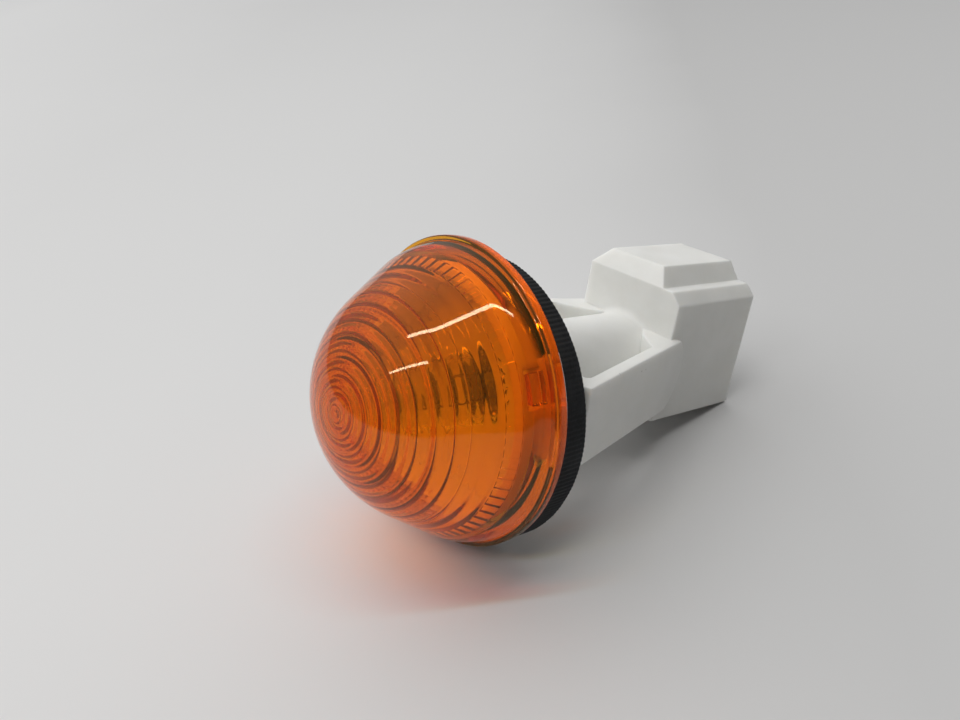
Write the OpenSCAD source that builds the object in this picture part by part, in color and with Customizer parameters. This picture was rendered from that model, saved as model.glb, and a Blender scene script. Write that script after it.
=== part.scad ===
// Round vehicle indicator lamp: domed amber lens, foam gasket and a white moulded housing
// that carries a capless bulb and a blade connector. The lens looks along -Y, Z is up,
// and the origin is on the lamp axis in the panel face, the rear of the gasket.

/* [Lens] */
// Diameter of the lens flange
lens_d = 46; // [44:0.5:50]
// Thickness of the lens flange
flange_t = 1.4; // [1:0.1:2]
// Step from the flange edge in to the collar
flange_step = 0.7; // [0.5:0.1:1.2]
// Height of the collar above the flange
collar_h = 3.1; // [2.9:0.1:4]
// How far the collar leans in over its height
collar_lean = 0.9; // [0.4:0.1:1.2]
// Radius of the shoulder where the dome turns into the collar
shoulder_r = 8; // [4:0.5:9]
// Height of the dome above the flange
dome_h = 20; // [19:0.2:22]
// How much smaller the radius of the round nose is than that of the lens flange
nose_inset = 3.6; // [3:0.1:4.4]
// Thickness of the dome wall
lens_wall = 2.5; // [2.2:0.1:3]
// Distance between optic rings, along the inside of the dome
ring_pitch = 2.2; // [1.8:0.1:2.4]
// Depth of the grooves between the optic rings, into the wall
ring_depth = 0.3; // [0.2:0.05:0.6]
// Number of optic rings round the centre button
ring_count = 8; // [5:1:8]
// Number of fine flutes across the inside of the dome, just above the collar
flute_count = 72; // [48:4:76]
// Depth of a flute
flute_depth = 0.15; // [0.1:0.05:0.2]
// Length of a flute, down the inside of the dome
flute_l = 2.2; // [1.4:0.1:2.6]

/* [Gasket] */
// Thickness of the gasket
gasket_t = 5.7; // [5:0.1:6.4]
// How far the gasket edge lies inside the flange edge
gasket_inset = 1.2; // [0.8:0.1:1.6]
// How far the loose gasket hangs below the lamp axis
gasket_drop = 1.6; // [0:0.1:1.7]
// How far the loose gasket hangs to the left of the lamp axis
gasket_shift = 0.3; // [0:0.1:0.5]

/* [Cup] */
// Gap between the cup and the inside of the collar
cup_gap = 0.7; // [0.4:0.1:1]
// Wall of the cup
cup_wall = 1.6; // [1.2:0.1:2]
// Height of the cup rim in front of the panel face
cup_h = 9.6; // [9.2:0.1:9.7]
// Thickness of the cup floor
cup_floor = 1.8; // [1.4:0.1:2.4]
// Angle round the axis of the middle of the bayonet lug
lug_at = 16; // [0:1:30]
// Angle that a lug spans
lug_span = 40; // [30:1:50]
// Thickness of a lug
lug_t = 1; // [0.8:0.1:1.4]
// Angle round the axis of the middle of the latch window
window_at = 25; // [10:1:30]
// Angle that a latch window spans
window_span = 16; // [12:1:20]

/* [Tube] */
// Outer radius of the bulb tube
tube_r = 8.5; // [8.3:0.1:9.2]
// Wall of the bulb tube
tube_wall = 1.5; // [1.2:0.1:1.7]
// Length of the tube behind the panel face
tube_l = 30.6; // [28:0.2:34]
// Fillet where the tube meets the connector block
tube_fillet = 1.2; // [0.6:0.1:1.5]

/* [Wings] */
// Distance from the lamp axis to the shoulder of a wing
wing_x = 19.7; // [19:0.1:20.5]
// Height of the top edge of the wings
wing_top = 7.6; // [6.5:0.1:8.5]
// Height of the bottom edge of the wings
wing_bottom = -4.6; // [-6:0.1:-4]
// Thickness of a wing
wing_t = 2; // [1.6:0.1:2.4]
// Gap behind the gasket that takes the panel edge
panel_gap = 1.2; // [0.8:0.1:1.6]
// Depth of the notch that the panel edge sits in
notch_depth = 1.3; // [0.8:0.1:1.6]

/* [Connector] */
// Width of the connector block
block_w = 20; // [18:0.2:23]
// How far the block lies to the right of the lamp axis
block_shift = 0.1; // [-0.5:0.1:0.5]
// Height of the block's shelf above the lamp axis
block_top = 15.2; // [14:0.2:17]
// Depth of the block's underside below the lamp axis
block_bottom = 7.4; // [7.3:0.1:8.2]
// Length of the block
block_l = 21.5; // [18:0.5:26]
// Width and height of the bevel along the block's right top edge
block_bevel = 1.9; // [1.2:0.1:2.4]
// Height of the key ridge above the shelf
ridge_h = 2.9; // [2:0.1:3.5]
// Width of the key ridge at its foot
ridge_w = 16.1; // [12:0.1:17]
// Wall of the connector shroud
shroud_wall = 2; // [1.6:0.1:2.2]
// Thickness of the bulkhead that the blades pass
bulkhead_t = 3; // [2.4:0.1:4]

/* [Contacts] */
// Thickness of the contact strip
strip_t = 0.8; // [0.6:0.1:0.8]
// Width of a contact blade
blade_w = 6.3; // [4.8:0.1:6.3]
// Length of a blade inside the shroud
blade_l = 12.4; // [8:0.2:14]
// Distance from the lamp axis to the middle of a contact
contact_x = 3.7; // [3.6:0.1:3.8]
// Height of the middle of the blades
blade_z = 2.2; // [1.8:0.1:2.3]

/* [Bulb] */
// Diameter of the bulb glass
bulb_d = 10.3; // [9.8:0.1:10.6]
// Length of the bulb with its wedge base
bulb_l = 26.8; // [25:0.2:29]
// Depth of the foot of the bulb behind the panel face
bulb_foot = 8.2; // [7:0.2:10]
// Width of the wedge base
wedge_w = 9.6; // [9.2:0.1:9.8]
// Thickness of the wedge base
wedge_t = 4.6; // [4.2:0.1:4.8]
// Length of the wedge base
wedge_l = 9.5; // [8.5:0.1:10]
// Diameter of the lead wires
lead_d = 0.4; // [0.3:0.05:0.5]

/* [Hidden] */

fit = 0.1;       // clearance of a sliding fit
eps = 0.01;      // overrun of a cut past a face
over = 1;        // longer overrun, where a cut leaves the piece
round_fn = 96;
fine_fn = 64;
wire_fn = 32;

// Stack of the front parts, measured forward from the panel face
flange_back = gasket_t;
flange_front = gasket_t + flange_t;
flange_r = lens_d / 2;
collar_foot_r = flange_r - flange_step;
collar_top_r = collar_foot_r - collar_lean;
collar_top = flange_front + collar_h;
nose_r = flange_r - nose_inset;
nose_h = flange_front + dome_h - nose_r;   // height of the centre of the nose
edge_break = 0.3;                          // bevel on the flange's front edge

// The flank is the tangent from the collar's top edge to the circle of the nose
edge_dist = norm([collar_top_r, collar_top - nose_h]);
edge_angle = atan2(collar_top - nose_h, collar_top_r);
flank_angle = edge_angle + acos(nose_r / edge_dist);
flank_normal = [cos(flank_angle), sin(flank_angle)];
flank_down = [sin(flank_angle), -cos(flank_angle)];
nose_in = nose_r - lens_wall;
nose_arc = nose_in * (90 - flank_angle) * PI / 180;   // from the axis to the flank
bore_r = collar_top_r - lens_wall * cos(flank_angle);
bore_top = collar_top - lens_wall * sin(flank_angle);
flute_from = 23.1;                         // where the flutes start, from the axis along the inside
flute_r = 1.7;                             // radius of a flute's round bottom

// The shoulder is an arc that touches the flank and the collar
collar_angle = atan2(collar_lean, collar_h);
collar_normal = [cos(collar_angle), sin(collar_angle)];
collar_down = [sin(collar_angle), -cos(collar_angle)];
shoulder_edge = [collar_top_r, collar_top];
shoulder_l = shoulder_r * tan((flank_angle - collar_angle) / 2);
shoulder_high = shoulder_edge - shoulder_l * flank_down;
shoulder_low = shoulder_edge + shoulder_l * collar_down;
shoulder_centre = shoulder_low - shoulder_r * collar_normal;

// Latch windows of the cup and the tongues of the lens that snap into them
window_low = flange_back;
window_high = window_low + 3;
tongue_low = window_low + 0.6;
tongue_span = window_span - 4;
tongue_root = 0.3;                         // depth of a tongue into the wall

cup_r = bore_r - cup_gap;
cup_in = cup_r - cup_wall;
cup_back = 0.6;                            // the cup's rear face stands this far in front of the panel face
gasket_r = flange_r - gasket_inset;
gasket_hole = cup_r + norm([gasket_shift, gasket_drop]) + fit;
lug_r = flange_r - 1;
lug_low = flange_back - lug_t;

tube_in = tube_r - tube_wall;
bulb_gap = 0.45;                           // clearance round the bulb in the cup floor
bulb_hole_r = bulb_d / 2 + bulb_gap;
block_left = block_shift - block_w / 2;
block_right = block_shift + block_w / 2;
block_end = tube_l + block_l;
mouth_front = tube_l + bulkhead_t;
ridge_right = block_left + ridge_w;
ridge_back_lean = 2.2;                     // lean of the ridge's front face
side_lean = 2.4;                           // lean of the ridge's two sides
corner = 0.5;                              // rounding of the block's long edges
miter = 0.4;                               // share of an offset that a slanted corner moves sideways
runout = 0.4;                              // the tube's underside ends this far inside the block

// The outer face of a wing runs from its shoulder to just outside the block
wing_start = panel_gap;
wing_stand = 1.15;                         // how far the wing still stands out just behind the block's front
wing_reach = tube_l + 1;
wing_end_x = block_right + wing_stand;
wing_slope = (wing_x - wing_end_x) / (wing_reach - wing_start);
wing_fade = wing_reach + wing_stand / wing_slope;
wing_round = 7.2;                          // radius of the wing's rear end, seen from the side
wing_round_at = [27.6, 6.4];               // its centre: behind the panel face, above the wing's bottom
wing_foot = [cup_r - 4.6, cup_r - 0.8];    // where the wing's root meets the back of the cup
root_t = 2;                                // thickness of the plate that joins the wing's front to its foot
root_bend = 0.8;                           // soft inner corner between that plate and the wing
web_start = 24.4;                          // where the web between wing, block and tube leaves the wing
web_bulge = [6.6, 27.5];                   // middle of the web's front, seen from above
web_in = 3.9;                              // where the web meets the front of the block
notch_lead = 0.8;                          // slant at the notch's shoulder, along the axis
notch_rise = 5;                            // height up the wing where the notch starts to run out
notch_tilt = 13;                           // slant of the notch where it runs out

contact_in = contact_x - strip_t / 2;
contact_out = contact_x + strip_t / 2;
blade_low = blade_z - blade_w / 2;
blade_high = blade_z + blade_w / 2;
strip_high = blade_low + 4;
stop_y = tube_l - 2.2;                     // the strip widens here, to a stop against the bulkhead
stop_drop = 0.7;                            // how far the stop stands out below the blade
blade_point = [1.2, 0.9];                  // length and height of the slants at the blade's tip
clip_half = 3;                             // half the height of a bulb clip
clip_corner = 1;
clip_front = bulb_foot - wedge_l + 1.9;    // just behind the shoulder of the glass
press_y = bulb_foot - 4;                   // where a clip presses on the wedge
press_gap = 0.02;
lead_x = wedge_t / 2 + lead_d / 2;         // the folded lead lies on the wedge's face
lead_out = lead_x + 0.03;
lead_z = 2.2;
lead_fold = 5;                             // length of the lead folded up along the wedge
lead_drop = lead_d / 2 + 0.05;
glass_wall = 0.7;
filament_h = 8.5;                          // height of the filament in front of the panel face
filament_r = 0.3;                          // outer radius of its coil

// Seat that the bulb stands on, in the tube, and the ribs that guide its wedge
seat_t = 2.2;
rib_t = 1.2;
rib_z = 3.8;                               // distance of a rib from the lamp axis
pocket_z = 3.2;                            // half the height of the pocket for the leads

// Point on the inside of the dome: s is the distance from the axis along the inside,
// d is the depth into the wall
function inside(s, d) =
    s < nose_arc
    ? [(nose_in + d) * sin(s / nose_in * 180 / PI), nose_h + (nose_in + d) * cos(s / nose_in * 180 / PI)]
    : [0, nose_h] + (nose_in + d) * flank_normal + (s - nose_arc) * flank_down;

// One optic ring: a pillow that bulges inward between two grooves
function ring(s) = [
    for (u = [0:0.25:0.75]) inside(s + u * ring_pitch, ring_depth * pow(2 * u - 1, 2))];

// Outline with its corners rounded by radius r, four points to a corner
function rounded(p, r) = [
    for (i = [0:len(p) - 1])
        let (n = len(p), a = p[(i + n - 1) % n] - p[i], b = p[(i + 1) % n] - p[i],
             u = a / norm(a), v = b / norm(b), half = acos(u * v) / 2,
             m = (u + v) / norm(u + v), c = p[i] + m * r / sin(half),
             from = atan2((p[i] + u * r / tan(half) - c)[1], (p[i] + u * r / tan(half) - c)[0]),
             turn = (u[0] * v[1] - u[1] * v[0] > 0 ? -1 : 1) * (180 - 2 * half))
        for (k = [0:3]) c + r * [cos(from + turn * k / 3), sin(from + turn * k / 3)]];

// Distance from the lamp axis to the outer face of a wing, at a distance behind the panel face
function wing_outer(y) = wing_x - wing_slope * (y - wing_start);

// Turned shapes are drawn about Z and looked at from the front
module facing_front() {
    rotate([90, 0, 0]) children();
}

// Part of a ring that spans an angle round the lamp axis, from height low to high
module sector(inner, outer, low, high, at, span) {
    rotate([0, 0, at - span / 2])
        rotate_extrude(angle = span, $fn = round_fn)
            translate([inner, low]) square([outer - inner, high - low]);
}

// Two like features, opposite each other on the lamp axis
module both_sides() {
    children();
    rotate([0, 0, 180]) children();
}

module dome_outline() {
    intersection() {
        union() {
            translate([0, nose_h]) circle(r = nose_r, $fn = round_fn);
            polygon([[0, flange_back], [flange_r, flange_back], [flange_r, flange_front - edge_break],
                [flange_r - edge_break, flange_front], [collar_foot_r, flange_front],
                shoulder_low, shoulder_high, [0, nose_h] + nose_r * flank_normal, [0, nose_h]]);
            intersection() {
                translate(shoulder_centre) circle(r = shoulder_r, $fn = round_fn);
                polygon([shoulder_centre, shoulder_low, shoulder_edge, shoulder_high]);
            }
        }
        translate([0, flange_back]) square([lens_d, flange_t + dome_h + over]);
    }
}

module cavity_outline() {
    button = ring_pitch / 2;
    rings_end = button + ring_count * ring_pitch;
    polygon(concat(
        [[0, flange_back - over], [bore_r, flange_back - over], [bore_r, bore_top],
            inside(rings_end, 0), inside(rings_end, ring_depth)],
        [for (i = [ring_count - 1:-1:0], k = [3:-1:0]) ring(button + i * ring_pitch)[k]],
        [inside(button / 2, ring_depth / 4), inside(0, 0)]));
}

// Round-bottomed flutes that run straight down the inside of the dome
module flutes() {
    start = inside(flute_from, flute_depth - flute_r);
    for (i = [0:flute_count - 1])
        rotate([0, 0, 360 * i / flute_count])
            translate([start[0], 0, start[1]])
                rotate([0, 180 - flank_angle, 0]) cylinder(r = flute_r, h = flute_l, $fn = wire_fn);
}

module lens() {
    color([0.95, 0.42, 0.05, 0.75])
    facing_front() {
        difference() {
            rotate_extrude($fn = round_fn) dome_outline();
            rotate_extrude($fn = round_fn) cavity_outline();
            flutes();
        }
        // Tongues that snap into the windows of the cup
        both_sides()
            sector(cup_r - cup_wall / 2, bore_r + tongue_root, tongue_low, window_high - fit,
                window_at, tongue_span);
    }
}

module lugs() {
    both_sides() sector(cup_r - eps, lug_r, lug_low, flange_back, lug_at, lug_span);
}

module gasket() {
    color([0.09, 0.09, 0.1])
    facing_front()
        difference() {
            translate([-gasket_shift, -gasket_drop, 0])
                difference() {
                    cylinder(r = gasket_r, h = gasket_t, $fn = round_fn);
                    translate([0, 0, -over])
                        cylinder(r = gasket_hole, h = gasket_t + 2 * over, $fn = round_fn);
                }
            // The lugs of the cup are let into the front of the foam
            both_sides()
                sector(cup_r - gasket_drop, lug_r + fit, lug_low, flange_back + over, lug_at, lug_span + 1);
        }
}

module cup() {
    facing_front() {
        difference() {
            translate([0, 0, cup_back]) cylinder(r = cup_r, h = cup_h - cup_back, $fn = round_fn);
            translate([0, 0, cup_back + cup_floor]) cylinder(r = cup_in, h = cup_h, $fn = round_fn);
            both_sides()
                sector(cup_in - over, cup_r + over, window_low, window_high, window_at, window_span);
        }
        lugs();
    }
}

// Outline of the connector block, seen along the lamp axis; grow moves it outward
function block_outline(grow) = [
    [block_left - grow, -block_bottom - grow],
    [block_right + grow, -block_bottom - grow],
    [block_right + grow, block_top - block_bevel + miter * grow],
    [block_right - block_bevel + miter * grow, block_top + grow],
    [block_left - grow, block_top + grow]];

function ridge_outline(grow) = [
    [block_left - grow, block_top + grow - over],
    [ridge_right + miter * grow + over, block_top + grow - over],
    [ridge_right + miter * grow, block_top + grow],
    [ridge_right - side_lean + miter * grow, block_top + ridge_h + grow],
    [block_left + side_lean - miter * grow, block_top + ridge_h + grow],
    [block_left - grow, block_top + grow]];

// A prism along the lamp axis between two distances behind the panel face
module along_axis(from, to) {
    facing_front() translate([0, 0, -to]) linear_extrude(to - from) children();
}

module block() {
    along_axis(tube_l, block_end) polygon(rounded(block_outline(0), corner));
    // The key ridge, whose front face leans back
    intersection() {
        along_axis(tube_l, block_end) polygon(ridge_outline(0));
        translate([-lens_d, 0, 0])
            rotate([90, 0, 90])
                linear_extrude(2 * lens_d)
                    polygon([[tube_l, block_top - over], [tube_l, block_top],
                        [tube_l + ridge_back_lean, block_top + ridge_h],
                        [block_end, block_top + ridge_h], [block_end, block_top - over]]);
    }
}

module mouth() {
    along_axis(mouth_front, block_end + over) polygon(block_outline(-shroud_wall));
    along_axis(mouth_front, block_end + over) polygon(ridge_outline(-shroud_wall));
}

// Wing on the right, seen from above, and trimmed to its side outline
module wing() {
    wall = wing_t * norm([1, wing_slope]);
    outer_foot = wing_outer(fit);
    bend = wing_start + root_t + root_bend;
    ease = root_bend * (1 - cos(45));
    difference() {
        intersection() {
            translate([0, 0, wing_bottom])
                linear_extrude(wing_top - wing_bottom)
                    polygon([[outer_foot, fit], [block_right, wing_fade], [block_right - over, wing_fade],
                        [block_right - over, tube_l], [web_in, tube_l], web_bulge,
                        [wing_outer(web_start) - wall, web_start], [wing_outer(bend) - wall, bend],
                        [wing_outer(bend) - wall - ease, wing_start + root_t + ease],
                        [wing_outer(bend) - wall - root_bend, wing_start + root_t],
                        [wing_foot[0], wing_start + root_t], [wing_foot[0], -cup_back - eps],
                        [wing_foot[1], -cup_back - eps], [wing_foot[1], fit]]);
            translate([0, 0, wing_bottom]) wing_side();
        }
        // Notch for the panel edge, which runs out towards the wing's foot
        translate([0, wing_start, wing_bottom + notch_rise]) {
            notch();
            translate([0, 0, eps]) rotate([notch_tilt, 0, 0]) mirror([0, 0, 1]) notch();
        }
    }
}

module wing_side() {
    rotate([90, 0, 90])
        linear_extrude(wing_x + 2 * over)
            intersection() {
                translate([-over, 0]) square([wing_fade + 2 * over, wing_top - wing_bottom]);
                union() {
                    translate([-over, -over]) square([wing_round_at[0] + over, wing_x]);
                    translate(wing_round_at) circle(r = wing_round, $fn = round_fn);
                }
            }
}

module notch() {
    linear_extrude(wing_top - wing_bottom)
        polygon([[wing_x - notch_depth, -wing_start - over], [wing_x - notch_depth, -notch_lead],
            [wing_x + eps, 0], [wing_x + 3 * over, 0], [wing_x + 3 * over, -wing_start - over]]);
}

// Inside of the tube: the seat that the bulb stands on and the ribs that guide its wedge
module bulb_seat() {
    rib_in = wedge_t / 2 + fit;
    intersection() {
        union() {
            difference() {
                translate([-tube_r, bulb_foot, -tube_r]) cube([2 * tube_r, seat_t, 2 * tube_r]);
                for (side = [-1, 1])
                    translate([side * contact_x - strip_t / 2 - fit, bulb_foot - over, blade_low - fit])
                        cube([strip_t + 2 * fit, seat_t + 2 * over, 2 * tube_r]);
                // Pocket for the folded leads
                translate([-contact_x, bulb_foot - over, -pocket_z])
                    cube([2 * contact_x, over + seat_t / 2, 2 * pocket_z]);
            }
            for (side = [-1, 1], up = [0, 1])
                mirror([0, 0, up])
                    translate([side > 0 ? rib_in : -rib_in - rib_t, -cup_back, rib_z])
                        cube([rib_t, bulb_foot + cup_back + eps, tube_r]);
        }
        facing_front()
            translate([0, 0, -bulb_foot - seat_t])
                cylinder(r = tube_in + tube_wall / 3, h = bulb_foot + seat_t + cup_back, $fn = round_fn);
    }
}

module tube() {
    facing_front() {
        translate([0, 0, -tube_l]) cylinder(r = tube_r, h = tube_l + cup_back, $fn = round_fn);
        // Fillet against the front of the block
        translate([0, 0, -tube_l])
            rotate_extrude($fn = round_fn)
                translate([tube_in, 0])
                    difference() {
                        square([tube_wall + tube_fillet, tube_fillet]);
                        translate([tube_wall + tube_fillet, tube_fillet])
                            circle(r = tube_fillet, $fn = fine_fn);
                    }
        // The tube's underside runs out below the block
        translate([0, 0, -tube_l - bulkhead_t])
            cylinder(r1 = block_bottom - runout, r2 = tube_r, h = bulkhead_t + eps, $fn = round_fn);
    }
}

module housing() {
    color([0.9, 0.9, 0.88]) {
        difference() {
            union() {
                cup();
                tube();
                block();
                wing();
                mirror([1, 0, 0]) wing();
            }
            // Bore of the tube, and the narrower hole in the cup floor that the bulb passes
            facing_front() {
                translate([0, 0, -tube_l]) cylinder(r = tube_in, h = tube_l + cup_back, $fn = round_fn);
                cylinder(r = bulb_hole_r, h = cup_h, $fn = round_fn);
            }
            mouth();
            for (side = [-1, 1])
                translate([side * contact_x - strip_t / 2 - fit, tube_l - over, blade_low - fit])
                    cube([strip_t + 2 * fit, bulkhead_t + 2 * over, blade_w + 2 * fit]);
        }
        bulb_seat();
    }
}

// Drawn about the lamp axis with the foot of the wedge at height zero
module at_bulb_foot() {
    facing_front() translate([0, 0, -bulb_foot]) children();
}

module bulb_glass() {
    r = bulb_d / 2;
    neck = [wedge_l - 1.5, wedge_l + 1];       // heights where the neck starts and where it is full width
    round_h = bulb_l - r;
    color([0.85, 0.9, 0.92, 0.5])
    at_bulb_foot()
        difference() {
            union() {
                translate([-wedge_t / 2, -wedge_w / 2, 0]) cube([wedge_t, wedge_w, wedge_l]);
                translate([0, 0, neck[0]])
                    cylinder(r1 = wedge_t / 2, r2 = r, h = neck[1] - neck[0], $fn = fine_fn);
                translate([0, 0, neck[1] - eps]) cylinder(r = r, h = round_h - neck[1], $fn = fine_fn);
                translate([0, 0, round_h]) sphere(r = r, $fn = fine_fn);
            }
            translate([0, 0, neck[1]]) cylinder(r = r - glass_wall, h = round_h - neck[1], $fn = fine_fn);
            translate([0, 0, round_h]) sphere(r = r - glass_wall, $fn = fine_fn);
            for (side = [-1, 1])
                translate([0, side * lead_z, -over])
                    cylinder(r = lead_d / 2 + press_gap, h = neck[1] + 2 * over, $fn = wire_fn);
        }
}

module bulb_filament() {
    color([0.6, 0.6, 0.62])
    at_bulb_foot()
        translate([0, 0, bulb_foot + filament_h])
            rotate([90, 0, 0])
                cylinder(r = filament_r, h = 2 * lead_z - lead_d - press_gap, center = true, $fn = wire_fn);
}

// A lead runs up from its fold on the wedge's face, under the foot and through the glass
module bulb_lead(side) {
    r = lead_d / 2;
    color([0.75, 0.75, 0.76])
    at_bulb_foot()
        translate([0, side * lead_z, -lead_drop]) {
            sphere(r = r, $fn = wire_fn);
            cylinder(r = r, h = bulb_foot + filament_h + lead_drop + filament_r + r, $fn = wire_fn);
            rotate([0, 90 * side, 0]) cylinder(r = r, h = lead_out, $fn = wire_fn);
            translate([side * lead_out, 0, 0]) {
                sphere(r = r, $fn = wire_fn);
                cylinder(r = r, h = lead_fold, $fn = wire_fn);
            }
        }
}

module bulb_lead_left() {
    bulb_lead(-1);
}

module bulb_lead_right() {
    bulb_lead(1);
}

// Stamped contact: the bent strip seen from above, trimmed to its stamped outline
module contact() {
    press_in = lead_out + lead_d / 2 + press_gap;   // inner face where it presses on the lead
    blade_end = mouth_front + blade_l;
    color([0.8, 0.68, 0.35])
    intersection() {
        translate([0, 0, -tube_r])
            linear_extrude(2 * tube_r)
                polygon([[contact_in, clip_front], [press_in, press_y], [contact_in, bulb_foot - fit],
                    [contact_in, blade_end], [contact_out, blade_end], [contact_out, bulb_foot - fit],
                    [press_in + strip_t, press_y], [contact_out, clip_front]]);
        rotate([90, 0, 90])
            linear_extrude(tube_r)
                polygon([[clip_front, clip_corner - clip_half], [clip_front + clip_corner, -clip_half],
                    [bulb_foot - fit, -clip_half], [bulb_foot - fit, blade_low],
                    [stop_y, blade_low], [stop_y, blade_low - stop_drop], [tube_l, blade_low - stop_drop],
                    [tube_l, blade_low], [blade_end - blade_point[0], blade_low],
                    [blade_end, blade_low + blade_point[1]], [blade_end, blade_high - blade_point[1]],
                    [blade_end - blade_point[0], blade_high],
                    [stop_y, blade_high], [stop_y, strip_high], [bulb_foot - fit, strip_high],
                    [bulb_foot - fit, clip_half], [clip_front + clip_corner, clip_half],
                    [clip_front, clip_half - clip_corner]]);
    }
}

module contact_left() {
    mirror([1, 0, 0]) contact();
}

module contact_right() {
    contact();
}

lens();
gasket();
housing();
bulb_glass();
bulb_filament();
bulb_lead_left();
bulb_lead_right();
contact_left();
contact_right();
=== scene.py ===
import bpy
import numpy as np
from mathutils import Matrix, Vector


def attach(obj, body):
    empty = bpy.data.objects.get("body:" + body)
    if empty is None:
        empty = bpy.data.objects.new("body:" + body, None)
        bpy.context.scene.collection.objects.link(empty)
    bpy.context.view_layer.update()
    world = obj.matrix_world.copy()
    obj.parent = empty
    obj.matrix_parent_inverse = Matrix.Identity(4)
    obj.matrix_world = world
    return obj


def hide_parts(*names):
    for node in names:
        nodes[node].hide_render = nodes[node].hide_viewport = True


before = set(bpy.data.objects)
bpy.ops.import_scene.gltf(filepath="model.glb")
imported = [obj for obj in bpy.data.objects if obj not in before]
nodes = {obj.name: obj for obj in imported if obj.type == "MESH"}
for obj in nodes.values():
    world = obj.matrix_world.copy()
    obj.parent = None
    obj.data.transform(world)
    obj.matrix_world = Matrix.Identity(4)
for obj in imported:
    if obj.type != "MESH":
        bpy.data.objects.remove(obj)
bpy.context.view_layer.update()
mm = 0.001
print("frame loaded:", len(nodes), "solids")

# The camera stands where the photograph was taken, a little above and to the right of the lens
cameraSet = {
    "place": (0.0877, -0.0835, 0.0501),
    "right": (0.6334, 0.7600, 0.1457),
    "up": (-0.3631, 0.1257, 0.9232),
    "focal": 32.25, "sensor": 36,  # mm
    "near": 0.002,
}


def makeCamera(s):
    right = Vector(s["right"]).normalized()
    up = Vector(s["up"])
    up = (up - right * up.dot(right)).normalized()
    turn = Matrix((right, up, right.cross(up))).transposed().to_4x4()
    data = bpy.data.cameras.new("camera")
    data.lens = s["focal"]
    data.sensor_width = s["sensor"]
    data.clip_start = s["near"]
    obj = bpy.data.objects.new("camera", data)
    bpy.context.scene.collection.objects.link(obj)
    obj.matrix_world = Matrix.Translation(s["place"]) @ turn
    bpy.context.scene.camera = obj


makeCamera(cameraSet)


# Small helpers for meshes and materials

def makeMesh(name, points, quads, tris=(), smooth=28):
    # points is (n, 3) in metres; quads and tris are rows of point numbers, counter-clockwise from outside
    mesh = bpy.data.meshes.new(name)
    faces = np.asarray(quads).tolist() + np.asarray(tris).tolist()
    mesh.from_pydata(points.tolist(), [], faces)
    mesh.polygons.foreach_set("use_smooth", np.ones(len(faces), bool))
    mesh.set_sharp_from_angle(angle=np.radians(smooth))
    mesh.update()
    obj = bpy.data.objects.new(name, mesh)
    bpy.context.scene.collection.objects.link(obj)
    return obj


def gridQuads(rows, columns, first=0, closeRows=False, closeColumns=False):
    # one quad from each point to its neighbours along both parameters, wrapping where closed
    i = np.arange(rows if closeRows else rows - 1)
    j = np.arange(columns if closeColumns else columns - 1)
    i, j = (a.ravel() for a in np.meshgrid(i, j, indexing="ij"))
    down, beside = (i + 1) % rows, (j + 1) % columns
    at = lambda a, b: first + a * columns + b
    return np.stack([at(i, j), at(down, j), at(down, beside), at(i, beside)], 1)


def newMaterial(name):
    material = bpy.data.materials.new(name)
    material.use_nodes = True
    tree = material.node_tree
    tree.nodes.clear()
    out = tree.nodes.new("ShaderNodeOutputMaterial")
    shader = tree.nodes.new("ShaderNodeBsdfPrincipled")
    tree.links.new(shader.outputs["BSDF"], out.inputs["Surface"])
    return material, tree, shader, out


def add(tree, kind, links=None, **values):
    # links gives what feeds each input; values sets a property of the node, or a plain input, with _ for a space
    node = tree.nodes.new(kind)
    for key, value in values.items():
        if key in node.bl_rna.properties:
            setattr(node, key, value)
        else:
            node.inputs[key.replace("_", " ")].default_value = value
    for key, source in (links or {}).items():
        tree.links.new(source, node.inputs[key])
    return node


def coordinates(tree):
    return tree.nodes.new("ShaderNodeTexCoord").outputs["Object"]


def ramp(tree, source, stops):
    node = add(tree, "ShaderNodeValToRGB", {"Fac": source})
    elements = node.color_ramp.elements
    while len(elements) < len(stops):
        elements.new(0.5)
    for element, (place, colour) in zip(elements, stops):
        element.position = place
        element.color = (*colour, 1)
    return node.outputs["Color"]


def dressNode(name, material):
    obj = nodes[name]
    if not obj.data.materials:
        obj.data.materials.append(material)
    for slot in obj.material_slots:
        slot.link = "OBJECT"
        slot.material = material


# Lens: one closed shell of revolution, amber, ringed and fluted inside. Lengths are in mm: R is a radius, and heights
# are measured along the axis from the panel face. Rows are the points along the outline.
lens = {
    "flangeBack": 5.7, "flangeFront": 7.1, "flangeR": 23.0, "rimRound": 0.35, "rearRound": 0.12,
    "collarFootR": 22.3, "collarTopR": 21.4, "collarTop": 10.2, "collarFillet": 0.35,
    "shoulderR": 8.0, "noseR": 19.4, "noseH": 7.7, "wall": 2.5,
    "ringPitch": 2.2, "ringDepth": 0.3, "ringCount": 8, "ringFlat": 4,
    "ringRows": [1, 0.96, 0.9, 0.78, 0.5, 0.22, 0.1, 0.04, 0.002],  # shares of the pitch, from the outer groove in
    "fluteCount": 72, "fluteDepth": 0.15, "fluteR": 1.7, "fluteFrom": 23.1, "fluteLong": 2.2, "pillow": 0.0006,
    "tongueR": 17.8, "tongueLow": 6.3, "tongueHigh": 8.6, "tongueAt": 25, "tongueHalf": 6,
    "noseRows": 42, "flankRows": (0.08, 0.92, 8), "shoulderRows": 9, "roundRows": 6, "rearRows": 4, "buttonRows": 7,
    "rowGap": 0.7, "sharp": 0.01,  # between rows on a plain stretch, and at a sharp step
    "turns": 576,
}


def arc(centre, radius, start, end, count):
    # points on a circle in the (r, h) plane, angles in degrees from the r axis
    a = np.radians(np.linspace(start, end, count))
    return np.stack([centre[0] + radius * np.cos(a), centre[1] + radius * np.sin(a)], 1)


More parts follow.
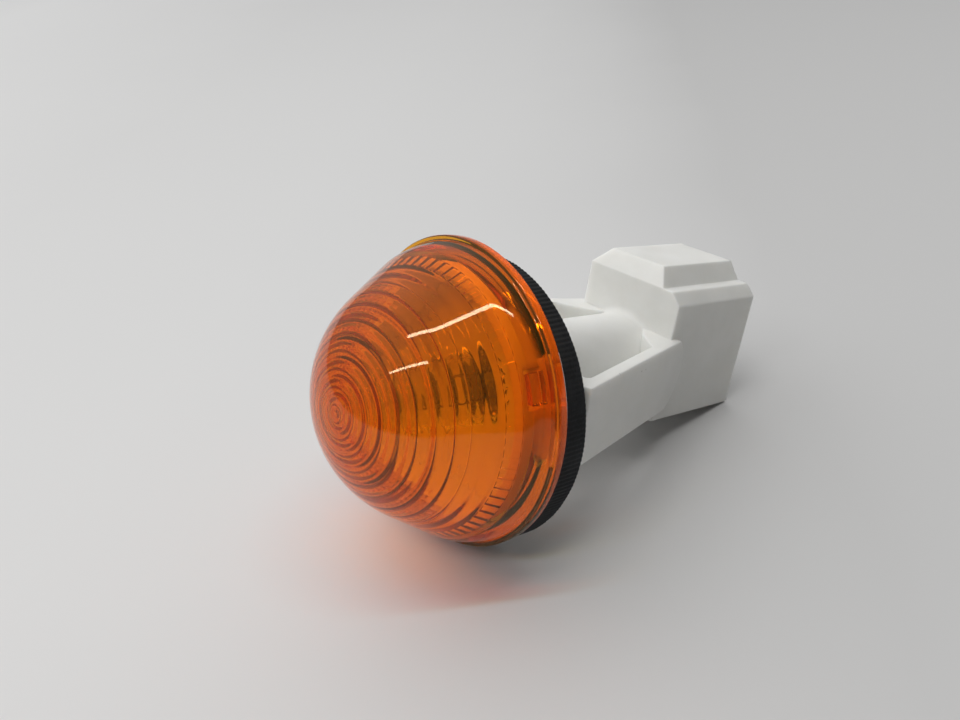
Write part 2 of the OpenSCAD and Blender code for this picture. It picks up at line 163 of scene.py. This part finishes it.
# The shell's outline in (r, h), from the outer pole round the flange to the inner pole. The flank is the tangent
# from the collar's top edge to the nose circle. The other columns tell where the flutes, the tongues and the small
# pillows of the rings are.
def lensProfile(s):
    edge = np.array([s["collarTopR"], s["collarTop"]])
    nose = np.array([0, s["noseH"]])
    away = edge - nose
    flank = np.arctan2(away[1], away[0]) + np.arccos(s["noseR"] / np.hypot(*away))
    collar = np.arctan2(s["collarFootR"] - s["collarTopR"], s["collarTop"] - s["flangeFront"])
    flankOut = np.array([np.cos(flank), np.sin(flank)])
    flankDown = np.array([np.sin(flank), -np.cos(flank)])
    collarOut = np.array([np.cos(collar), np.sin(collar)])
    collarDown = np.array([np.sin(collar), -np.cos(collar)])
    tangent = s["shoulderR"] * np.tan((flank - collar) / 2)
    shoulder = edge + tangent * collarDown - s["shoulderR"] * collarOut
    fillet, rim, rear = s["collarFillet"], s["rimRound"], s["rearRound"]
    filletR = s["collarFootR"] - fillet * np.tan(collar) + fillet / np.cos(collar)
    deg = np.degrees
    outer = np.concatenate([
        arc(nose, s["noseR"], 90, deg(flank), s["noseRows"]),
        nose + s["noseR"] * flankOut + np.linspace(*s["flankRows"])[:, None] * (
            edge - tangent * flankDown - nose - s["noseR"] * flankOut),
        arc(shoulder, s["shoulderR"], deg(flank), deg(collar), s["shoulderRows"]),
        arc((filletR, s["flangeFront"] + fillet), fillet, 180 + deg(collar), 270, s["roundRows"]),
        arc((s["flangeR"] - rim, s["flangeFront"] - rim), rim, 90, 0, s["roundRows"]),
        arc((s["flangeR"] - rear, s["flangeBack"] + rear), rear, 0, -90, s["rearRows"]),
    ])
    # inside, from the flange's rear up the bore
    boreR = edge[0] - s["wall"] * np.cos(flank)
    boreTop = edge[1] - s["wall"] * np.sin(flank)
    low, high = s["tongueLow"], s["tongueHigh"]
    gap, sharp = s["rowGap"], s["sharp"]
    boreH = np.array([s["flangeBack"], low - sharp, low + sharp, low + gap, low + 2 * gap,
                      high - sharp, high + sharp, boreTop - sharp])
    bore = np.stack([np.full(len(boreH), boreR), boreH], 1)
    # the dome's inside: a distance along it from the pole and a depth into the wall
    noseIn = s["noseR"] - s["wall"]
    onNose = noseIn * (np.pi / 2 - flank)
    insideEnd = onNose + (boreR - noseIn * np.cos(flank)) / np.sin(flank)

    def inside(along, depth):
        a = along / noseIn
        bent = np.stack([(noseIn + depth) * np.sin(a), nose[1] + (noseIn + depth) * np.cos(a)], 1)
        straight = nose + (noseIn + depth)[:, None] * flankOut + (along - onNose)[:, None] * flankDown
        return np.where((along < onNose)[:, None], bent, straight)

    button, pitch = s["ringPitch"] / 2, s["ringPitch"]
    ringEnd = button + s["ringCount"] * pitch
    fluteFrom = s["fluteFrom"]
    fluteTo = fluteFrom + s["fluteLong"]
    plain = np.array([insideEnd - 2 * sharp, fluteTo + 0.5, fluteTo + 2 * sharp, fluteTo, fluteTo - gap,
                      fluteFrom + gap, fluteFrom, fluteFrom - 2 * sharp, fluteFrom - 2 * gap,
                      ringEnd + 2 * gap, ringEnd + sharp])
    # each ring is flat in the middle and falls off steeply to the groove on either side:
    # it lies ringDepth * |2 u - 1| ** ringFlat deep, with u from 0 to 1 across it
    share = np.array(s["ringRows"])
    u = np.tile(share, s["ringCount"])
    ring = np.repeat(np.arange(s["ringCount"] - 1, -1, -1), len(share))
    sink = s["ringDepth"] * np.abs(2 * u - 1) ** s["ringFlat"]
    middle = np.linspace(1, 0, s["buttonRows"])
    dome = np.concatenate([
        inside(plain, np.zeros(len(plain))),
        inside(button + (ring + u) * pitch, sink),
        inside(button * middle, s["ringDepth"] * middle ** 2),
    ])
    profile = np.concatenate([outer, bore, dome])
    fluted = np.concatenate([np.zeros(len(outer) + len(bore)),
                             (plain > fluteFrom - sharp) & (plain < fluteTo + sharp),
                             np.zeros(len(dome) - len(plain))])
    tongued = np.concatenate([np.zeros(len(outer)), (boreH > low) & (boreH < high), np.zeros(len(dome))])
    bulged = np.concatenate([np.zeros(len(profile) - len(ring) - len(middle)), np.ones(len(ring)), middle ** 2])
    return np.column_stack([profile, fluted, tongued, bulged])


# Point (i, j) stands at x = R cos t, y = -H, z = R sin t. R and H are the profile's own, moved into the wall by the
# depth of a round-bottomed flute at the distance x from its middle, sqrt(fluteR^2 - x^2) - fluteR + fluteDepth, or
# of a small pillow, pillow * r * (share of the half width)^2. Over a tongue's span R is the tongue's radius.
def makeLens(s):
    profile = lensProfile(s)
    r, h, fluted, tongued, bulged = (profile[1:-1, k][:, None] for k in range(5))
    t = np.arange(s["turns"])[None, :] * 2 * np.pi / s["turns"]
    apart = 2 * np.pi / s["fluteCount"]
    x = r * ((t + apart / 2) % apart - apart / 2)
    groove = np.sqrt(np.maximum(s["fluteR"] ** 2 - x ** 2, 0)) - s["fluteR"] + s["fluteDepth"]
    groove = fluted * np.maximum(groove, 0) + bulged * s["pillow"] * r * (2 * x / (r * apart)) ** 2
    away = np.arctan2(h - s["noseH"], r)
    radius = r + groove * np.cos(away)
    off = np.abs((np.degrees(t) - s["tongueAt"] + 90) % 180 - 90)
    radius = np.where((tongued > 0.5) & (off < s["tongueHalf"]), s["tongueR"], radius)
    height = h + groove * np.sin(away)
    grid = np.stack([radius * np.cos(t), -height, radius * np.sin(t)], 2)
    rows, columns = grid.shape[:2]
    poles = np.array([[0, -profile[0, 1], 0], [0, -profile[-1, 1], 0]])
    points = np.concatenate([grid.reshape(-1, 3), poles]) * mm
    j = np.arange(columns)
    beside = (j + 1) % columns
    front = np.stack([np.full(columns, rows * columns), j, beside], 1)
    last = (rows - 1) * columns
    inner = np.stack([last + j, np.full(columns, rows * columns + 1), last + beside], 1)
    return makeMesh("amber_lens", points, gridQuads(rows, columns, closeColumns=True), np.concatenate([front, inner]))


amber = {
    "tint": (1.0, 0.58, 0.13, 1), "clear": 0.95, "ior": 1.49, "mirror": (1, 0.85, 0.55, 1),
    "absorb": (0.99, 0.885, 0.25, 1), "density": 1500.0,
    "rough": (0.012, 0.035), "haze": 420, "flow": 90, "flowBump": 0.12, "flowDepth": 0.0002,
    "lines": 1.0, "lineApart": 0.0011, "lineDepth": 0.00014, "skin": 0.0012,  # skin is less than the wall
    # what the lamps' light keeps on its way through, above and below the axis, and how soon one becomes the other
    "topTint": (0.90, 0.86, 0.54), "lowTint": (0.78, 0.86, 0.78), "up": (0, -0.296, 0.955), "turn": 0.005,
}


# Rays from lamps pass straight through, so that what is behind the clear wall is lit
def letLampsThrough(tree, shader, out, colour):
    path = tree.nodes.new("ShaderNodeLightPath")
    clear = tree.nodes.new("ShaderNodeBsdfTransparent")
    if isinstance(colour, tuple):
        clear.inputs["Color"].default_value = colour
    else:
        tree.links.new(colour, clear.inputs["Color"])
    mix = add(tree, "ShaderNodeMixShader", {"Fac": path.outputs["Is Shadow Ray"]})
    tree.links.new(shader.outputs["BSDF"], mix.inputs[1])
    tree.links.new(clear.outputs["BSDF"], mix.inputs[2])
    tree.links.new(mix.outputs["Shader"], out.inputs["Surface"])


def makeAmber(s):
    material, tree, shader, out = newMaterial("amber_clear")
    where = coordinates(tree)
    shader.inputs["Base Color"].default_value = s["tint"]
    shader.inputs["Transmission Weight"].default_value = s["clear"]
    shader.inputs["IOR"].default_value = s["ior"]
    shader.inputs["Specular Tint"].default_value = s["mirror"]
    haze = add(tree, "ShaderNodeTexNoise", {"Vector": where}, Scale=s["haze"], Detail=3, Roughness=0.6)
    rough = add(tree, "ShaderNodeMapRange", {"Value": haze.outputs["Fac"]}, From_Min=0.45, From_Max=0.75,
                To_Min=s["rough"][0], To_Max=s["rough"][1])
    tree.links.new(rough.outputs["Result"], shader.inputs["Roughness"])
    flow = add(tree, "ShaderNodeTexNoise", {"Vector": where}, Scale=s["flow"], Detail=1)
    bump = add(tree, "ShaderNodeBump", {"Height": flow.outputs["Fac"]}, Strength=s["flowBump"],
               Distance=s["flowDepth"])
    # fine turned lines on the inside of the dome, which lies nearer to the centre of the nose than the outside;
    # the wave texture has a crest every pi / 10 / scale
    away = add(tree, "ShaderNodeVectorMath", {0: where}, operation="DISTANCE")
    away.inputs[1].default_value = (0, -lens["noseH"] * mm, 0)
    within = lens["noseR"] * mm - s["skin"]
    inner = add(tree, "ShaderNodeMapRange", {"Value": away.outputs["Value"]}, From_Min=within,
                From_Max=within + 0.1 * mm, To_Min=s["lines"], To_Max=0)
    lines = add(tree, "ShaderNodeTexWave", {"Vector": where}, wave_type="RINGS", rings_direction="Y",
                Scale=np.pi / 10 / s["lineApart"], Distortion=0)
    turned = add(tree, "ShaderNodeBump", {"Height": lines.outputs["Fac"], "Normal": bump.outputs["Normal"],
                                          "Strength": inner.outputs["Result"]}, Distance=s["lineDepth"])
    tree.links.new(turned.outputs["Normal"], shader.inputs["Normal"])
    depth = add(tree, "ShaderNodeVolumeAbsorption", Color=s["absorb"], Density=s["density"])
    tree.links.new(depth.outputs["Volume"], out.inputs["Volume"])
    # the underside dims the lamps more, where the rings above have already spread their light
    height = add(tree, "ShaderNodeVectorMath", {0: where}, operation="DOT_PRODUCT")
    height.inputs[1].default_value = s["up"]
    share = add(tree, "ShaderNodeMapRange", {"Value": height.outputs["Value"]}, From_Min=-s["turn"],
                From_Max=s["turn"])
    passed = ramp(tree, share.outputs["Result"], [(0, s["lowTint"]), (1, s["topTint"])])
    letLampsThrough(tree, shader, out, passed)
    return material


lensPiece = makeLens(lens)
lensPiece.data.materials.append(makeAmber(amber))
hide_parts("lens")
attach(lensPiece, "root")
print("lens made:", len(lensPiece.data.polygons), "faces")


# Gasket: a foam ring with a die-cut edge, let in for the lugs of the cup
gasket = {
    "back": 0.0, "front": 5.7, "outerR": 21.8, "holeR": 20.32, "drop": 1.6, "shift": 0.3, "edgeRound": 0.2,
    "lugR": 22.1, "lugLow": 4.7, "lugAt": 16, "lugHalf": 20.5, "sideRoom": 0.05, "rearRoom": 0.01,
    "ribs": 190, "ribDepth": 0.055, "ribSlant": 0.35, "trim": 0.06,
    # the uneven edge: depth, waves round the ring, slant and phase of each
    "waves": [(0.02, 9, 0, 1.3), (0.015, 23, 0.4, 0), (0.012, 61, 0, 2.1)],
    "turns": 1440,
}


def makeGasket(s):
    # A rounded rectangle carried round the axis: radius plus a small ribbed and uneven term on the outside.
    # Over each lug the front face is let in to the lug's rear.
    edge = s["edgeRound"]
    side = np.linspace(s["back"] + edge, s["front"] - edge, 7)[1:-1]
    outline = np.concatenate([
        arc((s["outerR"] - edge, s["front"] - edge), edge, 90, 0, 4),
        np.stack([np.full(5, s["outerR"]), side[::-1]], 1),
        arc((s["outerR"] - edge, s["back"] + edge), edge, 0, -90, 4),
        arc((s["holeR"] + edge, s["back"] + edge), edge, -90, -180, 4),
        np.stack([np.full(3, s["holeR"]), side[1:4]], 1),
        arc((s["holeR"] + edge, s["front"] - edge), edge, 180, 90, 4),
    ])
    r, h = outline[:, 0][:, None], outline[:, 1][:, None]
    t = np.arange(s["turns"])[None, :] * 2 * np.pi / s["turns"]
    outside = np.clip((r - s["outerR"] + edge) / edge, 0, 1)
    uneven = sum(depth * np.sin(count * t + slant * h + phase) for depth, count, slant, phase in s["waves"])
    ribs = s["ribDepth"] * np.sin(s["ribs"] * t + s["ribSlant"] * h)
    radius = r + outside * (ribs + uneven - s["trim"])
    x, z = radius * np.cos(t) - s["shift"], radius * np.sin(t) - s["drop"]
    turn = np.degrees(np.arctan2(z, x))
    off = np.abs((turn - s["lugAt"] + 90) % 180 - 90)
    letIn = (off < s["lugHalf"]) & (np.hypot(x, z) < s["lugR"] + s["sideRoom"])
    high = np.where(letIn, np.minimum(h, s["lugLow"] - s["rearRoom"]), h + 0 * t)
    grid = np.stack([x, -high, z], 2)
    rows, columns = grid.shape[:2]
    return makeMesh("foam_gasket", grid.reshape(-1, 3) * mm, gridQuads(rows, columns, 0, True, True), smooth=50)


foam = {
    "dark": (0.010, 0.011, 0.013), "pale": (0.026, 0.028, 0.032), "rough": 0.82, "shine": 0.35,
    "cells": 2600, "patches": 260, "cellShare": 0.6, "bump": 0.6, "bumpDepth": 0.00012,
}


def makeFoam(s):
    material, tree, shader, out = newMaterial("foam_black")
    where = coordinates(tree)
    cells = add(tree, "ShaderNodeTexVoronoi", {"Vector": where}, Scale=s["cells"], Randomness=1)
    patch = add(tree, "ShaderNodeTexNoise", {"Vector": where}, Scale=s["patches"], Detail=4, Roughness=0.65)
    colour = ramp(tree, patch.outputs["Fac"], [(0.3, s["dark"]), (0.75, s["pale"])])
    tree.links.new(colour, shader.inputs["Base Color"])
    shader.inputs["Roughness"].default_value = s["rough"]
    shader.inputs["Specular IOR Level"].default_value = s["shine"]
    grain = add(tree, "ShaderNodeMath", {0: cells.outputs["Distance"], 2: patch.outputs["Fac"]},
                operation="MULTIPLY_ADD")
    grain.inputs[1].default_value = s["cellShare"]
    bump = add(tree, "ShaderNodeBump", {"Height": grain.outputs["Value"]}, Strength=s["bump"],
               Distance=s["bumpDepth"])
    tree.links.new(bump.outputs["Normal"], shader.inputs["Normal"])
    return material


gasketPiece = makeGasket(gasket)
gasketPiece.data.materials.append(makeFoam(foam))
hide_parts("gasket")
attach(gasketPiece, "root")
print("gasket made:", len(gasketPiece.data.polygons), "faces")


# Housing: satin white moulding, with soft edges and a few dark dots of painted shade where the moulding has small
# pits
white = {
    "pale": (0.83, 0.83, 0.805), "dull": (0.79, 0.79, 0.76), "cloud": 160, "rough": (0.40, 0.52),
    "through": 0.8, "depth": 0.0014, "spread": (1, 0.95, 0.9), "edge": 0.00045,
    "grain": 3200, "grainBump": 0.16, "grainDepth": 0.00004,
    "pitShadeColour": (0.16, 0.15, 0.14), "pitShadeR": 0.00011, "pitShadeBlur": 1.8,
    "pitShadeDots": [(0.0172, 0.0096, 0.00745), (0.01504, 0.01748, 0.00597), (0.01462, 0.01894, 0.00592),
               (0.01162, 0.02943, 0.00445)],
}


def makeWhite(s):
    material, tree, shader, out = newMaterial("white_moulding")
    where = coordinates(tree)
    cloud = add(tree, "ShaderNodeTexNoise", {"Vector": where}, Scale=s["cloud"], Detail=4, Roughness=0.6)
    colour = ramp(tree, cloud.outputs["Fac"], [(0.35, s["dull"]), (0.65, s["pale"])])
    # each dot is painted shade: a dark disc put where a small pit in the moulding lies
    for place in s["pitShadeDots"]:
        away = add(tree, "ShaderNodeVectorMath", {0: where}, operation="DISTANCE")
        away.inputs[1].default_value = place
        inside = add(tree, "ShaderNodeMapRange", {"Value": away.outputs["Value"]}, From_Min=s["pitShadeR"],
                     From_Max=s["pitShadeR"] * s["pitShadeBlur"], To_Min=1, To_Max=0)
        mix = add(tree, "ShaderNodeMix", {"Factor": inside.outputs["Result"]}, data_type="RGBA")
        tree.links.new(colour, mix.inputs["A"])
        mix.inputs["B"].default_value = (*s["pitShadeColour"], 1)
        colour = mix.outputs["Result"]
    tree.links.new(colour, shader.inputs["Base Color"])
    grain = add(tree, "ShaderNodeTexNoise", {"Vector": where}, Scale=s["grain"], Detail=2, Roughness=0.5)
    rough = add(tree, "ShaderNodeMapRange", {"Value": cloud.outputs["Fac"]}, From_Min=0.3, From_Max=0.7,
                To_Min=s["rough"][0], To_Max=s["rough"][1])
    tree.links.new(rough.outputs["Result"], shader.inputs["Roughness"])
    shader.inputs["Subsurface Weight"].default_value = s["through"]
    shader.inputs["Subsurface Radius"].default_value = s["spread"]
    shader.inputs["Subsurface Scale"].default_value = s["depth"]
    soft = add(tree, "ShaderNodeBevel", samples=6, Radius=s["edge"])
    fine = add(tree, "ShaderNodeBump", {"Height": grain.outputs["Fac"], "Normal": soft.outputs["Normal"]},
               Strength=s["grainBump"], Distance=s["grainDepth"])
    tree.links.new(fine.outputs["Normal"], shader.inputs["Normal"])
    return material


dressNode("housing", makeWhite(white))
print("housing dressed")


# Bulb: clear glass, drawn leads and a coiled filament
bulb = {
    "tint": (0.97, 0.985, 0.98, 1), "passed": (0.95, 0.96, 0.96, 1), "ior": 1.5, "rough": 0.01,
    "waves": 260, "waveBump": 0.15, "waveDepth": 0.0002,
}
coil = {"y": -8.5, "half": 1.98, "radius": 0.26, "wire": 0.045, "turnCount": 15, "steps": 22, "sides": 8}  # mm
tungsten = {"pale": (0.30, 0.30, 0.32), "dark": (0.16, 0.16, 0.18), "rough": (0.35, 0.5), "drawn": (300, 300, 2500)}
leadWire = {"pale": (0.62, 0.61, 0.60), "dark": (0.42, 0.42, 0.42), "rough": (0.25, 0.4), "drawn": (2500, 200, 2500)}
brass = {"pale": (0.80, 0.64, 0.33), "dark": (0.66, 0.50, 0.24), "rough": (0.24, 0.38), "drawn": (1800, 90, 1800)}


def makeGlass(s):
    material, tree, shader, out = newMaterial("bulb_glass_clear")
    where = coordinates(tree)
    shader.inputs["Base Color"].default_value = s["tint"]
    shader.inputs["Transmission Weight"].default_value = 1
    shader.inputs["IOR"].default_value = s["ior"]
    shader.inputs["Roughness"].default_value = s["rough"]
    waves = add(tree, "ShaderNodeTexNoise", {"Vector": where}, Scale=s["waves"], Detail=1)
    bump = add(tree, "ShaderNodeBump", {"Height": waves.outputs["Fac"]}, Strength=s["waveBump"],
               Distance=s["waveDepth"])
    tree.links.new(bump.outputs["Normal"], shader.inputs["Normal"])
    letLampsThrough(tree, shader, out, s["passed"])
    return material


def makeMetal(name, s):
    material, tree, shader, out = newMaterial(name)
    where = coordinates(tree)
    drawn = add(tree, "ShaderNodeMapping", {"Vector": where}, Scale=s["drawn"])
    streak = add(tree, "ShaderNodeTexNoise", {"Vector": drawn.outputs["Vector"]}, Scale=1, Detail=4, Roughness=0.6)
    shader.inputs["Metallic"].default_value = 1
    colour = ramp(tree, streak.outputs["Fac"], [(0.3, s["dark"]), (0.7, s["pale"])])
    tree.links.new(colour, shader.inputs["Base Color"])
    spread = add(tree, "ShaderNodeMapRange", {"Value": streak.outputs["Fac"]}, From_Min=0.3, From_Max=0.7,
                 To_Min=s["rough"][0], To_Max=s["rough"][1])
    tree.links.new(spread.outputs["Result"], shader.inputs["Roughness"])
    bump = add(tree, "ShaderNodeBump", {"Height": streak.outputs["Fac"]}, Strength=0.1, Distance=0.00003)
    tree.links.new(bump.outputs["Normal"], shader.inputs["Normal"])
    return material


def makeCoil(s):
    # A thin tube round a helix along z: centre (r cos p, y, r sin p) turned onto z, p from 0 to 2 pi times the
    # turns. Each ring of the tube lies across the helix's direction.
    count = s["turnCount"] * s["steps"] + 1
    p = np.linspace(0, 2 * np.pi * s["turnCount"], count)
    along = np.linspace(-s["half"], s["half"], count)
    centre = np.stack([s["radius"] * np.cos(p), s["y"] + s["radius"] * np.sin(p), along], 1)
    out = np.stack([np.cos(p), np.sin(p), 0 * p], 1)
    run = np.gradient(centre, axis=0)
    run /= np.linalg.norm(run, axis=1)[:, None]
    across = np.cross(run, out)
    q = np.arange(s["sides"]) * 2 * np.pi / s["sides"]
    around = np.cos(q)[None, :, None] * out[:, None] + np.sin(q)[None, :, None] * across[:, None]
    rings = centre[:, None] + s["wire"] * around
    points = np.concatenate([rings.reshape(-1, 3), centre[[0, -1]]]) * mm
    quads = gridQuads(count, s["sides"], closeColumns=True)[:, ::-1]
    j = np.arange(s["sides"])
    beside = (j + 1) % s["sides"]
    end = (count - 1) * s["sides"]
    tris = np.concatenate([
        np.stack([np.full(s["sides"], count * s["sides"]), beside, j], 1),
        np.stack([np.full(s["sides"], count * s["sides"] + 1), end + j, end + beside], 1)])
    return makeMesh("coiled_filament", points, quads, tris)


coilPiece = makeCoil(coil)
coilPiece.data.materials.append(makeMetal("filament_tungsten", tungsten))
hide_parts("bulb_filament")
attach(coilPiece, "root")
dressNode("bulb_glass", makeGlass(bulb))
drawnWire = makeMetal("lead_wire", leadWire)
stampedBrass = makeMetal("contact_brass", brass)
for side in ("left", "right"):
    dressNode(f"bulb_lead_{side}", drawnWire)
    dressNode(f"contact_{side}", stampedBrass)
print("bulb and contacts made")


# Floor, lamps and world. The part lies on its flange and connector, so the floor tilts up towards the rear.
stand = {
    "up": (0, -0.296, 0.955), "touch": (0, 0, -0.0235), "half": 1.6,
    # the greys along this run are a painted falloff of the light: the floor is painted darker to the right, where
    # less light falls
    "paintedFalloffRun": (0.707, 0.707, 0), "from": -0.4, "to": 0.2,
    "paintedFalloffShades": [(0, 0.93), (0.42, 0.78), (0.58, 0.755), (0.67, 0.72), (0.73, 0.67), (0.79, 0.59), (1, 0.60)],
    "cloud": 9, "uneven": 0.03, "rough": 0.7, "shine": 0.2,
}
lamps = {
    "height": 1.0, "wide": 0.05, "power": 2.9, "colour": (1.0, 0.99, 0.97),
    # across and along of each tube's middle, and its length, as shares of the height
    "tubes": [(0.093, 0.028, 0.94), (0.142, -0.81, 0.81)], "direction": (0.56, 0.83),
}
sky = {
    "even": 0.01,
    # soft windows in the room: where each lies, how bright it is and how narrow
    "windows": [((-0.60, -0.55, 0.58), 1.45, 3.0), ((-0.60, 0.60, 0.50), 0.95, 3.0)],
    "seen": 0.64, "mirrored": 0.42,
}


def makeFloor(s):
    up = Vector(s["up"]).normalized()
    right = Vector((1, 0, 0))
    along = up.cross(right)
    middle = Vector(s["touch"])
    corners = [(-1, -1), (1, -1), (1, 1), (-1, 1)]
    points = np.array([middle + s["half"] * (a * right + b * along) for a, b in corners])
    floor = makeMesh("floor", points, [[0, 1, 2, 3]])
    material, tree, shader, out = newMaterial("floor_paper_painted_falloff")
    where = coordinates(tree)
    # the floor's grey is painted darker towards the right of the picture: a painted falloff of the light, which comes
    # from the left
    across = add(tree, "ShaderNodeVectorMath", {0: where}, operation="DOT_PRODUCT")
    across.inputs[1].default_value = s["paintedFalloffRun"]
    cloud = add(tree, "ShaderNodeTexNoise", {"Vector": where}, Scale=s["cloud"], Detail=3)
    uneven = add(tree, "ShaderNodeMath", {0: cloud.outputs["Fac"], 2: across.outputs["Value"]},
                 operation="MULTIPLY_ADD")
    uneven.inputs[1].default_value = s["uneven"]
    share = add(tree, "ShaderNodeMapRange", {"Value": uneven.outputs["Value"]}, From_Min=s["from"], From_Max=s["to"])
    paintedFalloffGreys = [(place, (shade, shade, shade)) for place, shade in s["paintedFalloffShades"]]
    tree.links.new(ramp(tree, share.outputs["Result"], paintedFalloffGreys), shader.inputs["Base Color"])
    shader.inputs["Roughness"].default_value = s["rough"]
    shader.inputs["Specular IOR Level"].default_value = s["shine"]
    # from below it lets the view through, so that the underside of the part can be looked at
    face = add(tree, "ShaderNodeNewGeometry")
    clear = add(tree, "ShaderNodeBsdfTransparent")
    mix = add(tree, "ShaderNodeMixShader", {"Fac": face.outputs["Backfacing"]})
    tree.links.new(shader.outputs["BSDF"], mix.inputs[1])
    tree.links.new(clear.outputs["BSDF"], mix.inputs[2])
    tree.links.new(mix.outputs["Shader"], out.inputs["Surface"])
    floor.data.materials.append(material)


def makeLamps(s, up):
    up = Vector(up).normalized()
    right = Vector((1, 0, 0))
    along = up.cross(right)
    run = (s["direction"][0] * right + s["direction"][1] * along).normalized()
    for number, (a, b, length) in enumerate(s["tubes"]):
        data = bpy.data.lights.new(f"tube_lamp_{number}", "AREA")
        data.shape = "RECTANGLE"
        data.size = length * s["height"]
        data.size_y = s["wide"] * s["height"]
        data.energy = s["power"] * length
        data.color = s["colour"]
        obj = bpy.data.objects.new(data.name, data)
        bpy.context.scene.collection.objects.link(obj)
        place = s["height"] * (up + a * right + b * along)
        obj.matrix_world = Matrix.Translation(place) @ Matrix((run, up.cross(run), up)).transposed().to_4x4()
        obj.visible_camera = False


def makeSky(s):
    # brightness = even + sum of strength * max(0, cosine to the window) ** narrowness
    world = bpy.data.worlds.new("soft_room")
    bpy.context.scene.world = world
    world.use_nodes = True
    tree = world.node_tree
    tree.nodes.clear()
    out = tree.nodes.new("ShaderNodeOutputWorld")
    where = tree.nodes.new("ShaderNodeTexCoord").outputs["Generated"]
    level = add(tree, "ShaderNodeValue").outputs["Value"]
    level.default_value = s["even"]
    for direction, strength, narrow in s["windows"]:
        near = add(tree, "ShaderNodeVectorMath", {0: where}, operation="DOT_PRODUCT")
        near.inputs[1].default_value = Vector(direction).normalized()
        front = add(tree, "ShaderNodeMath", {0: near.outputs["Value"]}, operation="MAXIMUM")
        front.inputs[1].default_value = 0
        lobe = add(tree, "ShaderNodeMath", {0: front.outputs["Value"]}, operation="POWER")
        lobe.inputs[1].default_value = narrow
        total = add(tree, "ShaderNodeMath", {0: lobe.outputs["Value"], 2: level}, operation="MULTIPLY_ADD")
        total.inputs[1].default_value = strength
        level = total.outputs["Value"]
    # mirrored in a shiny surface the windows are dimmer, and the camera sees an even pale room
    path = tree.nodes.new("ShaderNodeLightPath")
    dim = add(tree, "ShaderNodeMath", {0: path.outputs["Is Glossy Ray"]}, operation="MULTIPLY_ADD")
    dim.inputs[1].default_value = s["mirrored"] - 1
    dim.inputs[2].default_value = 1
    dimmed = add(tree, "ShaderNodeMath", {0: level, 1: dim.outputs["Value"]}, operation="MULTIPLY")
    lit = add(tree, "ShaderNodeBackground", {"Strength": dimmed.outputs["Value"]}, Color=(1, 1, 1, 1))
    seen = add(tree, "ShaderNodeBackground", Color=(1, 1, 1, 1), Strength=s["seen"])
    mix = add(tree, "ShaderNodeMixShader", {"Fac": path.outputs["Is Camera Ray"]})
    tree.links.new(lit.outputs["Background"], mix.inputs[1])
    tree.links.new(seen.outputs["Background"], mix.inputs[2])
    tree.links.new(mix.outputs["Shader"], out.inputs["Surface"])


makeFloor(stand)
makeLamps(lamps, stand["up"])
makeSky(sky)
bpy.context.scene.view_settings.view_transform = "Standard"
print("floor, lamps and sky made")
